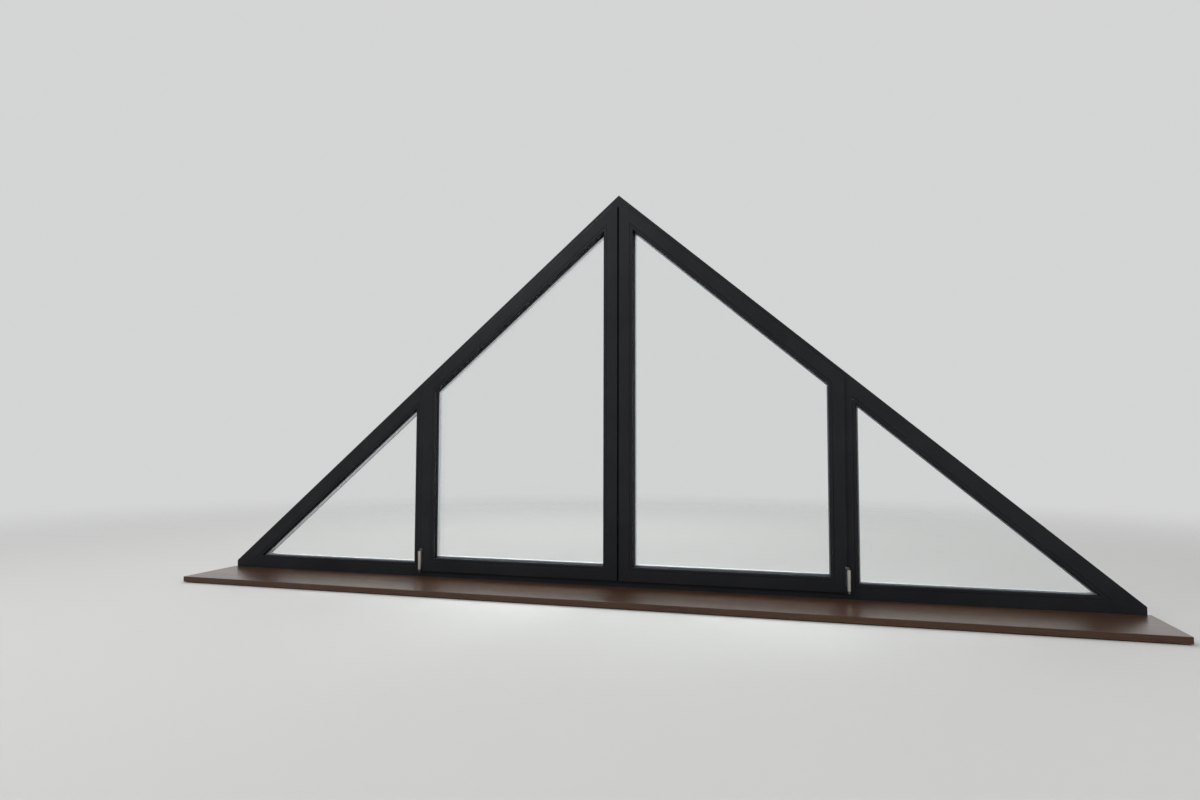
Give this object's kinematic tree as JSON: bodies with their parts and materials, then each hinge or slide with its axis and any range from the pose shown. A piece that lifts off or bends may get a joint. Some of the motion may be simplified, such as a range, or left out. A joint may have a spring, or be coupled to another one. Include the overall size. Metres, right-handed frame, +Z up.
{
  "type": "triangular gable window",
  "caption": "Wide triangular gable window: two tall sloped-top leaves meeting at the middle, small three-sided side lights, dark profiles, triple glass and a timber window board.",
  "frame": {"origin": "middle of the underside of the sill profile, the flat face that the wall carries", "axes": "+X to the right seen from the room, +Y from the room to the outside, +Z up to the point of the gable"},
  "size_m": [4.444, 0.442, 1.946],
  "materials": {
    "frame_profile": "satin anthracite foil",
    "leaf_profile": "satin anthracite foil",
    "glazing_bead": "satin anthracite foil",
    "seal": "matt black",
    "glass": "clear, faintly green",
    "spacer": "matt silver",
    "hinge_cover": "silver lacquer",
    "hinge_pin": "dull zinc",
    "hinge_plate": "dark satin",
    "sill_profile": "matt grey",
    "board_wood": "dark oak, satin lacquer"
  },
  "bodies": {
    "root": {"frame_bottom_rail": "frame_profile", "frame_post_centre": "frame_profile", "frame_post_left": "frame_profile", "frame_post_right": "frame_profile", "frame_slope_rail_left": "frame_profile", "frame_slope_rail_right": "frame_profile", "hinge_cover_left": "hinge_cover", "hinge_cover_right": "hinge_cover", "hinge_pin_ends_left": "hinge_pin", "hinge_pin_ends_right": "hinge_pin", "hinge_plate_left": "hinge_plate", "hinge_plate_right": "hinge_plate", "leaf_beads_left": "glazing_bead", "leaf_beads_right": "glazing_bead", "leaf_bottom_rail_left": "leaf_profile", "leaf_bottom_rail_right": "leaf_profile", "leaf_glass_left": "glass", "leaf_glass_right": "glass", "leaf_glazing_seals_left": "seal", "leaf_glazing_seals_right": "seal", "leaf_hinge_stile_left": "leaf_profile", "leaf_hinge_stile_right": "leaf_profile", "leaf_meeting_stile_left": "leaf_profile", "leaf_meeting_stile_right": "leaf_profile", "leaf_rebate_seals_left": "seal", "leaf_rebate_seals_right": "seal", "leaf_slope_rail_left": "leaf_profile", "leaf_slope_rail_right": "leaf_profile", "leaf_spacer_bars_left": "spacer", "leaf_spacer_bars_right": "spacer", "side_light_beads_left": "glazing_bead", "side_light_beads_right": "glazing_bead", "side_light_glass_left": "glass", "side_light_glass_right": "glass", "side_light_glazing_seals_left": "seal", "side_light_glazing_seals_right": "seal", "side_light_spacer_bars_left": "spacer", "side_light_spacer_bars_right": "spacer", "sill_profile": "sill_profile", "window_board": "board_wood"}
  },
  "joints": []
}
